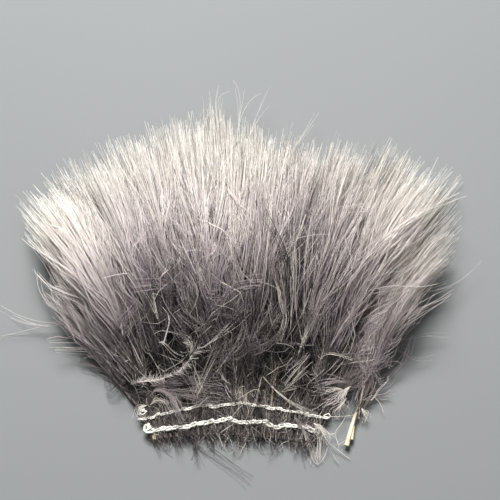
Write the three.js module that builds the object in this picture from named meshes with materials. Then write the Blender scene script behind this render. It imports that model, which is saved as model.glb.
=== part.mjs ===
// Strung marabou feathers: soft turkey plumes sewn side by side by two rows of cotton chain stitch,
// lying on a table. Millimetres. +X runs along the string, +Y towards the plume tips, +Z up.
import * as THREE from "three";

// The string of quills
const SEWN_PLUMES = 29;
const ROW_HALF = 28; // middle of the string to its end quills
const ROW_BOW = 2.5; // how far the middle of the string bows towards the tips
const ROW_DROOP = 0.8; // the right end lies this much lower than the middle, the left end higher
const ROW_STEP = 5.8; // lower row of stitches to the upper row
const STRING_X = -2.93; // where the middle of the lower row lies in the part
const STRING_Y = -53.05;
const QUILL_Z = 2;
const QUILL_RADIUS = 0.58;
const BUTT_LENGTH = 4; // quill left below the lower row
const STRAY_X = 39.5; // the plume past the right end of the string
const STRAY_RADIUS = 0.85;
const STRAY_BUTT = 4.5;

// The fan of plumes: place along the string from -1 to 1, lean in degrees, length from the lower row
const FAN = [
  [-1, -35, 57],
  [-0.93, -31.5, 97],
  [-0.7, -20.5, 106],
  [-0.45, -12, 112],
  [-0.15, -3.3, 120],
  [0.15, 3.3, 112],
  [0.45, 10, 106],
  [0.7, 18.3, 112],
  [0.93, 29.5, 108],
  [1, 36, 87],
];
const STRAY_LEAN = 23;
const STRAY_LENGTH = 54;
const LEAN_AT_ROW = 0.7; // a plume starts steeper than its mean lean and bends outwards
const LAYERS = 3; // plumes lie over each other, every third one in the same layer
const LAYER_REACH = [1, 0.97, 0.9];
const STRAIGHT = 1e-6; // a plume that bends less than this per millimetre is straight

// The loft of the bunch over the table
const BASE_HEIGHT = 3.6;
const TOP_HEIGHT = 33;
const RISE_FROM = 8; // distances from the lower row
const RISE_TO = 58;
const FALL_FROM = 62;
const FALL_TO = 118;
const TIP_FALL = 0.55;
const SIDE_FALL = 0.4;
const HALF_FAN = 78;

// One plume
const LAYER_FILL = 0.84; // share of its layer that a plume fills
const SIDE_GAP = 0.8; // between neighbours in a layer
const WIDEST_HALF = 8.5;
const SEARCH_STEP = 2; // along a neighbour, when looking for its nearest point
const QUILL_SHOWS_TO = 6.9; // where the bare quill ends, just past the upper row
const COLLAR_AT = 8.5; // the first down, still side by side with its neighbours
const COLLAR_HALF = 0.8;
const COLLAR_HIGH = 1.4;
const DOWN_FROM = 15; // from here the layers lie over each other
const DOWN_STATIONS = [20, 27, 36, 48];
const SPLIT_AT = 0.66; // where a plume parts into locks
const SPLIT_CLEAR = 0.1; // no other section this close below the split
const LOCK_STATIONS = [0.5, 0.85];
const LOCK_SLIMNESS = [0.92, 0.66];
const LOCK_SHORTENING = 0.07;
const UNEVEN_STEP = 0.618;
const VALLEY_DIP = 0.3;
const WIDE_PLUME = 80; // plumes longer than this in the lowest layer part into three locks, others into two

// Loose wisps past the outline of the fan: the plume that each grows on, the lock that it lengthens or
// CUT_END where it hangs from the quill, and its points to the tip, from the middle of the lower row
const CUT_END = -1;
const WISPS = [
  { plume: 0, lock: 0, points: [[-64, 35, 2], [-72, 34.2, 1.6], [-80.8, 32.8, 1]] },
  { plume: 0, lock: 1, points: [[-62, 43, 3], [-67, 49, 3.5], [-70.5, 56.5, 4]] },
  { plume: 7, lock: CUT_END, points: [[-12.6, -4.5, 1.6], [-6, -9.7, 1.1], [0, -14, 0.9], [4.7, -18.7, 0.6]] },
  { plume: 8, lock: CUT_END, points: [[-10.6, -3.6, 1.7], [-3.7, -8, 1.1], [1.7, -12, 0.9], [6.7, -16, 0.6]] },
  { plume: 14, lock: 1, points: [[2.6, 109, 14.8], [2.3, 117, 12], [2.1, 124.9, 9]] },
  { plume: 24, lock: CUT_END, points: [[20.5, -5, 1.7], [24, -7.5, 1.2], [27.8, -10, 0.8]] },
  { plume: 29, lock: 1, points: [[67, 47.2, 16], [76, 50.5, 11], [86.6, 58.9, 6]] },
];
const WISP_ROOT = 0.5;
const WISP_TIP = 0.15;

// The chain stitch
const THREAD_GAP = 0.3; // clear of the quills
const THREAD_HALF = 0.3;
const LEG_HALF = 0.2;
const LINK_HALF = 0.8; // half the width of a stitch
const LINK_ARCH = 0.25;
const LOWEST_THREAD = 0.2; // clear of the table
const END_STEP = 1.6; // last quill to the end of a row

const DOWN_COLOUR = 0xb0a6a8;
const DOWN_ROUGHNESS = 0.9;
const COTTON_COLOUR = 0xe9e4d4;
const COTTON_ROUGHNESS = 0.85;

// Lean and full length of a plume, read off the fan at its place along the string.
function fanAt(place) {
  const next = Math.max(FAN.findIndex((row) => row[0] >= place), 1);
  const [near, far] = [FAN[next - 1], FAN[next]];
  const share = (place - near[0]) / (far[0] - near[0]);
  return [1, 2].map((field) => THREE.MathUtils.lerp(near[field], far[field], share));
}

function sewnPlume(index) {
  const place = (2 * index) / (SEWN_PLUMES - 1) - 1;
  const [lean, length] = fanAt(place);
  const layer = index % LAYERS;
  return {
    index,
    layer,
    start: new THREE.Vector2(ROW_HALF * place, ROW_BOW * (1 - place * place) - ROW_DROOP * place),
    lean: THREE.MathUtils.degToRad(lean),
    length: length * LAYER_REACH[layer],
    radius: QUILL_RADIUS,
    butt: BUTT_LENGTH,
  };
}

// The loose plume at the right end, with a thicker and longer bare quill.
function strayPlume() {
  return {
    index: SEWN_PLUMES,
    layer: LAYERS - 1,
    start: new THREE.Vector2(STRAY_X, -ROW_DROOP),
    lean: THREE.MathUtils.degToRad(STRAY_LEAN),
    length: STRAY_LENGTH,
    radius: STRAY_RADIUS,
    butt: STRAY_BUTT,
  };
}

// Point and heading of a plume at a distance from the lower row.
function along(plume, distance) {
  const from = plume.lean * LEAN_AT_ROW;
  const bend = (2 * plume.lean * (1 - LEAN_AT_ROW)) / plume.length;
  const run = Math.max(distance, 0);
  const heading = from + bend * run;
  const point = plume.start.clone();
  if (Math.abs(bend) < STRAIGHT) {
    point.add(new THREE.Vector2(run * Math.sin(from), run * Math.cos(from)));
  } else {
    point.x += (Math.cos(from) - Math.cos(heading)) / bend;
    point.y += (Math.sin(heading) - Math.sin(from)) / bend;
  }
  const below = Math.min(distance, 0);
  point.x += below * Math.sin(from);
  point.y += below * Math.cos(from);
  return { point, across: new THREE.Vector2(Math.cos(heading), -Math.sin(heading)) };
}

// Height of the whole bunch over the table.
function loft(x, y) {
  const rise = THREE.MathUtils.smoothstep(y, RISE_FROM, RISE_TO);
  const fall = 1 - TIP_FALL * THREE.MathUtils.smoothstep(y, FALL_FROM, FALL_TO);
  const side = 1 - SIDE_FALL * (x / HALF_FAN) ** 2;
  return BASE_HEIGHT + (TOP_HEIGHT - BASE_HEIGHT) * rise * fall * side;
}

// Height of a point that lies a share of the way up its layer.
function layerHeight(plume, x, y, share) {
  const flat = plume.layer === 0 ? 0 : (1 - LAYER_FILL) / 2;
  const top = 1 - (1 - LAYER_FILL) / 2;
  return (loft(x, y) * (plume.layer + flat + (top - flat) * share)) / LAYERS;
}

// Half the way to the nearest plume of the same layer.
function halfWidth(plume, plumes, distance) {
  const here = along(plume, distance).point;
  let nearest = 2 * WIDEST_HALF;
  for (const other of plumes) {
    if (other === plume || other.layer !== plume.layer) continue;
    for (let run = 0; run <= other.length; run += SEARCH_STEP) {
      nearest = Math.min(nearest, here.distanceTo(along(other, run).point));
    }
  }
  return nearest / 2 - SIDE_GAP / 2;
}

// A round or oval section with one vertex per column of the plume.
function ovalRing({ point, across }, columns, height, wide, high) {
  const ring = [];
  for (let k = 0; k < 2 * columns; k++) {
    const turn = Math.PI * (1 - k / columns);
    const side = wide * Math.cos(turn);
    ring.push([point.x + across.x * side, point.y + across.y * side, height + high * Math.sin(turn)]);
  }
  return ring;
}

// A point of the down: sideways from the centre line and a share of the way up the layer.
function downPoint(plume, distance, side, share) {
  const { point, across } = along(plume, distance);
  const x = point.x + across.x * side;
  const y = point.y + across.y * side;
  return [x, y, layerHeight(plume, x, y, share)];
}

// A section of the down: ridges where the locks will part, valleys between them.
function downRing(plume, columns, distance, half, dip) {
  const ring = [];
  const lowDip = plume.layer === 0 && dip < 0.5 ? 0 : dip;
  for (let k = 0; k < 2 * columns; k++) {
    const under = k > columns;
    const column = under ? 2 * columns - k : k;
    const side = half * ((2 * column) / columns - 1);
    const edge = column === 0 || column === columns;
    const ridge = column % 2 === 1;
    let share = under ? 0 : 1;
    if (edge) share = 0.5;
    else if (!ridge) share = under ? lowDip : 1 - dip;
    ring.push(downPoint(plume, distance, side, share));
  }
  return ring;
}

// The points of the wisp on a lock or on the cut end of a plume, where there is one.
function wispOn(plume, lock) {
  return WISPS.find((wisp) => wisp.plume === plume.index && wisp.lock === lock)?.points ?? [];
}

// Round sections along a wisp, whose points come from the root or from the tip.
function wispRings(points, columns, rootFirst) {
  return points.map(([x, y, height], k) => {
    const before = points[Math.max(k - 1, 0)];
    const after = points[Math.min(k + 1, points.length - 1)];
    const course = new THREE.Vector2(after[0] - before[0], after[1] - before[1]).normalize();
    const place = { point: new THREE.Vector2(x, y), across: new THREE.Vector2(course.y, -course.x) };
    const share = k / (points.length - 1);
    const radius = THREE.MathUtils.lerp(WISP_ROOT, WISP_TIP, rootFirst ? share : 1 - share);
    return ovalRing(place, columns, height, radius, radius);
  });
}

class Surface {
  constructor() {
    this.vertices = [];
    this.faces = [];
  }

  add(point) {
    this.vertices.push(point);
    return this.vertices.length - 1;
  }

  addRing(ring) {
    return ring.map((point) => this.add(point));
  }

  quad(a, b, c, d) {
    this.faces.push([a, b, c], [a, c, d]);
  }

  // Joins two rings of the same count.
  skin(near, far) {
    near.forEach((_, k) => {
      const next = (k + 1) % near.length;
      this.quad(near[k], near[next], far[next], far[k]);
    });
  }

  // Carries a ring on through further sections, and returns the last.
  carry(ring, sections) {
    return sections.reduce((near, section) => {
      const far = this.addRing(section);
      this.skin(near, far);
      return far;
    }, ring);
  }

  // Closes a ring with a fan of triangles.
  cap(ring) {
    for (let k = 1; k + 1 < ring.length; k++) this.faces.push([ring[0], ring[k + 1], ring[k]]);
  }

  point(ring, tip) {
    ring.forEach((vertex, k) => this.faces.push([vertex, ring[(k + 1) % ring.length], tip]));
  }

  geometry() {
    const made = new THREE.BufferGeometry();
    made.setAttribute("position", new THREE.Float32BufferAttribute(this.vertices.flat(), 3));
    made.setIndex(this.faces.flat());
    return made;
  }
}

// A share from 0 to 1 that differs from one lock to the next.
function unevenness(number) {
  return (number * UNEVEN_STEP) % 1;
}

// The locks at the end of a plume, each tapering to its own point or into a wisp.
function addLocks(surface, plume, split, columns, from, half) {
  const locks = columns / 2;
  for (let lock = 0; lock < locks; lock++) {
    const left = 2 * lock;
    const root = [split[left], split[left + 1], split[left + 2], split[2 * columns - left - 1]];
    const middle = half * ((2 * (left + 1)) / columns - 1);
    const reach = plume.length * (1 - LOCK_SHORTENING * unevenness(plume.index * 3 + lock * 2));
    const sections = LOCK_STATIONS.map((station, step) => {
      const distance = THREE.MathUtils.lerp(from, reach, station);
      const slim = (half / locks) * LOCK_SLIMNESS[step];
      const thick = LOCK_SLIMNESS[step] / 2;
      return [
        downPoint(plume, distance, middle - slim, 0.5),
        downPoint(plume, distance, middle, 0.5 + thick),
        downPoint(plume, distance, middle + slim, 0.5),
        downPoint(plume, distance, middle, 0.5 - thick),
      ];
    });
    const wisp = wispRings(wispOn(plume, lock), root.length / 2, true);
    const end = surface.carry(root, [...sections, ...wisp]);
    if (wisp.length > 0) surface.cap(end.toReversed());
    else surface.point(end, surface.add(downPoint(plume, reach, middle, 0.5)));
  }
}

// The sections of a plume from its first down to where it parts into locks.
function downSections(plume, plumes, columns) {
  const { point } = along(plume, DOWN_FROM);
  const [low, high] = [0, 1].map((share) => layerHeight(plume, point.x, point.y, share));
  const sections = [
    ovalRing(along(plume, COLLAR_AT), columns, QUILL_Z, COLLAR_HALF, COLLAR_HIGH),
    ovalRing(along(plume, DOWN_FROM), columns, (low + high) / 2, COLLAR_HALF, (high - low) / 2),
  ];
  for (const distance of DOWN_STATIONS) {
    if (distance > plume.length * (SPLIT_AT - SPLIT_CLEAR)) continue;
    sections.push(downRing(plume, columns, distance, halfWidth(plume, plumes, distance), VALLEY_DIP));
  }
  return sections;
}

// The sections of the bare quill, after those of a wisp that hangs from its cut end.
function quillSections(plume, columns) {
  const wisp = wispRings(wispOn(plume, CUT_END).toReversed(), columns, false);
  const ends = [-plume.butt, QUILL_SHOWS_TO];
  const quill = ends.map((run) => ovalRing(along(plume, run), columns, QUILL_Z, plume.radius, plume.radius));
  return [...wisp, ...quill];
}

function plumeGeometry(plume, plumes) {
  const locks = plume.layer === 0 && plume.length > WIDE_PLUME ? 3 : 2;
  const columns = 2 * locks;
  const surface = new Surface();
  const [first, ...sections] = [...quillSections(plume, columns), ...downSections(plume, plumes, columns)];
  const start = surface.addRing(first);
  surface.cap(start);
  const ring = surface.carry(start, sections);
  const from = plume.length * SPLIT_AT;
  const half = halfWidth(plume, plumes, from);
  const points = downRing(plume, columns, from, half, 0.5);
  const split = [];
  points.forEach((point, k) => {
    const mirrored = 2 * columns - k;
    const joined = k > columns && k % 2 === 0;
    split.push(joined ? split[mirrored] : surface.add(point));
  });
  surface.skin(ring, split);
  addLocks(surface, plume, split, columns, from, half);
  return surface.geometry();
}

// Corners of a stitch section: half width across the row, from a low to a high level.
function stitchCorners(place, alongStep, half, low, high) {
  const x = place.point.x + place.row.x * alongStep;
  const y = place.point.y + place.row.y * alongStep;
  const side = new THREE.Vector2(-place.row.y, place.row.x).multiplyScalar(half);
  return [
    [x - side.x, y - side.y, low],
    [x + side.x, y + side.y, low],
    [x + side.x, y + side.y, high],
    [x - side.x, y - side.y, high],
  ];
}

// The places where a row goes down between two quills, and where it crosses over each quill.
function stitchPlaces(plumes, distance) {
  const over = plumes.map((plume) => along(plume, distance).point);
  const first = over[0].clone().sub(over[1]).setLength(END_STEP).add(over[0]);
  const last = over.at(-1).clone().sub(over.at(-2)).setLength(END_STEP).add(over.at(-1));
  const down = [first];
  for (let k = 1; k < over.length; k++) down.push(over[k - 1].clone().lerp(over[k], 0.5));
  down.push(last);
  return down.map((point, k) => {
    const before = down[Math.max(k - 1, 0)];
    const after = down[Math.min(k + 1, down.length - 1)];
    return { point, over: over[k], row: after.clone().sub(before).normalize() };
  });
}

// Where link, leg and strand meet: a block over the gap between two quills, one under it, and the leg.
function addKnot(surface, place, levels) {
  const { low, high, under, underTop } = levels;
  const topLeft = surface.addRing(stitchCorners(place, -LEG_HALF, THREAD_HALF, low, high));
  const topRight = surface.addRing(stitchCorners(place, LEG_HALF, THREAD_HALF, low, high));
  const lowLeft = surface.addRing(stitchCorners(place, -LEG_HALF, THREAD_HALF, under, underTop));
  const lowRight = surface.addRing(stitchCorners(place, LEG_HALF, THREAD_HALF, under, underTop));
  for (const side of [1, 2, 3]) {
    const next = (side + 1) % 4;
    surface.quad(topLeft[side], topLeft[next], topRight[next], topRight[side]);
  }
  for (const side of [0, 1, 3]) {
    const next = (side + 1) % 4;
    surface.quad(lowLeft[side], lowLeft[next], lowRight[next], lowRight[side]);
  }
  const legTop = [topLeft[0], topRight[0], topRight[1], topLeft[1]];
  const legFoot = [lowLeft[3], lowRight[3], lowRight[2], lowLeft[2]];
  surface.skin(legFoot, legTop);
  return { topLeft, topRight, lowLeft, lowRight };
}

// A row of chain stitch: links over the quills, a strand under them, a leg between each two quills.
function threadGeometry(plumes, distance, radius) {
  const surface = new Surface();
  const low = QUILL_Z + radius + THREAD_GAP;
  const high = low + 2 * THREAD_HALF;
  const underTop = QUILL_Z - radius - THREAD_GAP;
  const under = Math.max(underTop - 2 * THREAD_HALF, LOWEST_THREAD);
  const places = stitchPlaces(plumes, distance);
  const knots = places.map((place) => addKnot(surface, place, { low, high, under, underTop }));
  surface.cap(knots[0].topLeft);
  surface.cap(knots[0].lowLeft);
  surface.cap(knots.at(-1).topRight.toReversed());
  surface.cap(knots.at(-1).lowRight.toReversed());
  for (let k = 1; k < knots.length; k++) {
    const [before, after] = [knots[k - 1], knots[k]];
    const crossing = { point: places[k - 1].over, row: places[k - 1].row };
    const arch = stitchCorners(crossing, 0, LINK_HALF, low + LINK_ARCH / 2, high + LINK_ARCH);
    const link = surface.addRing(arch);
    surface.skin(before.topRight, link);
    surface.skin(link, after.topLeft);
    surface.skin(before.lowRight, after.lowLeft);
  }
  return surface.geometry();
}

function addNode(group, name, geometry, color, roughness) {
  const material = new THREE.MeshStandardMaterial({ color, roughness, metalness: 0 });
  const mesh = new THREE.Mesh(geometry, material);
  mesh.name = name;
  group.add(mesh);
}

function strungMarabou() {
  const group = new THREE.Group();
  group.name = "strung_marabou";
  const string = new THREE.Group();
  string.position.set(STRING_X, STRING_Y, 0);
  group.add(string);
  const sewn = Array.from({ length: SEWN_PLUMES }, (_, index) => sewnPlume(index));
  const plumes = [...sewn, strayPlume()];
  for (const plume of plumes) {
    const name = "plume_" + String(plume.index + 1).padStart(2, "0");
    addNode(string, name, plumeGeometry(plume, plumes), DOWN_COLOUR, DOWN_ROUGHNESS);
  }
  const upper = threadGeometry(plumes, ROW_STEP, STRAY_RADIUS);
  const lower = threadGeometry(sewn, 0, QUILL_RADIUS);
  addNode(string, "thread_upper", upper, COTTON_COLOUR, COTTON_ROUGHNESS);
  addNode(string, "thread_lower", lower, COTTON_COLOUR, COTTON_ROUGHNESS);
  return group;
}

export default strungMarabou();
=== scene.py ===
"""Strung marabou: plumes with their barbs and quills, two rows of cotton chain stitch, and a plain stage."""

import math

import bpy
import numpy as np
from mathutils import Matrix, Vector


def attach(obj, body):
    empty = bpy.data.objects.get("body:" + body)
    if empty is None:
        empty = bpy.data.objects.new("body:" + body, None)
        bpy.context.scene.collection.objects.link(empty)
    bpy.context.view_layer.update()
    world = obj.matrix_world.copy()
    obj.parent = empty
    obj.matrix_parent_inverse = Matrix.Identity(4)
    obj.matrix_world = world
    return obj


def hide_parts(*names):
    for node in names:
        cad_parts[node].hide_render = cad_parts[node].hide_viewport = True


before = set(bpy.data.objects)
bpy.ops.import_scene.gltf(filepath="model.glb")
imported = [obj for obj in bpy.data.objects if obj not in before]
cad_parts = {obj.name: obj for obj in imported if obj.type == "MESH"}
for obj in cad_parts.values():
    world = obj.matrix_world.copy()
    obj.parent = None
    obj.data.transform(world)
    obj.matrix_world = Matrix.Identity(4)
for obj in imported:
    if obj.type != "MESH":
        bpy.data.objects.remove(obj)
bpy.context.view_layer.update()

bl_info = {
    "name": "Strung marabou",
    "version": (1, 0, 0),
    "blender": (4, 5, 0),
    "location": "View3D > Sidebar > Marabou",
    "description": "Grows barbs, down and quills on a sewn string of marabou plumes and stitches the string",
    "category": "Object",
}

MM = 0.001
BAKE_MAP = "OFBake"  # tint of a strand across, height in the plume upwards
LAYERS = 3  # plumes lie over each other in turn
LAYER_REACH = (1, 0.97, 0.9)  # share of its length that a plume keeps in each layer, lowest first
SEWN_HEIGHT = 12  # from the lowest strands to the highest where they are sewn
FULL_LENGTH = 110  # of a plume that carries the set numbers of barbs
TABLE_GAP = 0.05  # strands to the table
END_CALM = 0.62  # size of the waves of locks near the ends of the string
BARE_QUILLS = (0, 10, 15, 16, 20)  # plumes whose quills show, bare and undyed
BROKEN_BARB = 3  # plume that the broken barb belongs to
WARM_WHITE = (0.62, 0.55, 0.44, 1)
HORN_STREAK = (0.25, 0.18, 0.09, 1)
# painted shade that winds along the plies of the thread
PAINTED_PLY_SHADE = (0.42, 0.37, 0.29, 1)
GRIME = (0.45, 0.42, 0.4, 1)

# The fan: place along the string from -1 to 1, lean in degrees, length in millimetres from the lower row,
# and how much further down the pale end comes, as a share of the length.
FAN = (
    (-1, -35, 57, 0.2),
    (-0.93, -31.5, 97, 0.12),
    (-0.7, -20.5, 106, 0.0),
    (-0.45, -12, 112, -0.06),
    (-0.15, -3.3, 120, 0.05),
    (0.15, 3.3, 112, -0.02),
    (0.45, 10, 106, -0.13),
    (0.7, 18.3, 112, -0.04),
    (0.93, 29.5, 108, 0.06),
    (1, 36, 87, 0.1),
)

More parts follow.
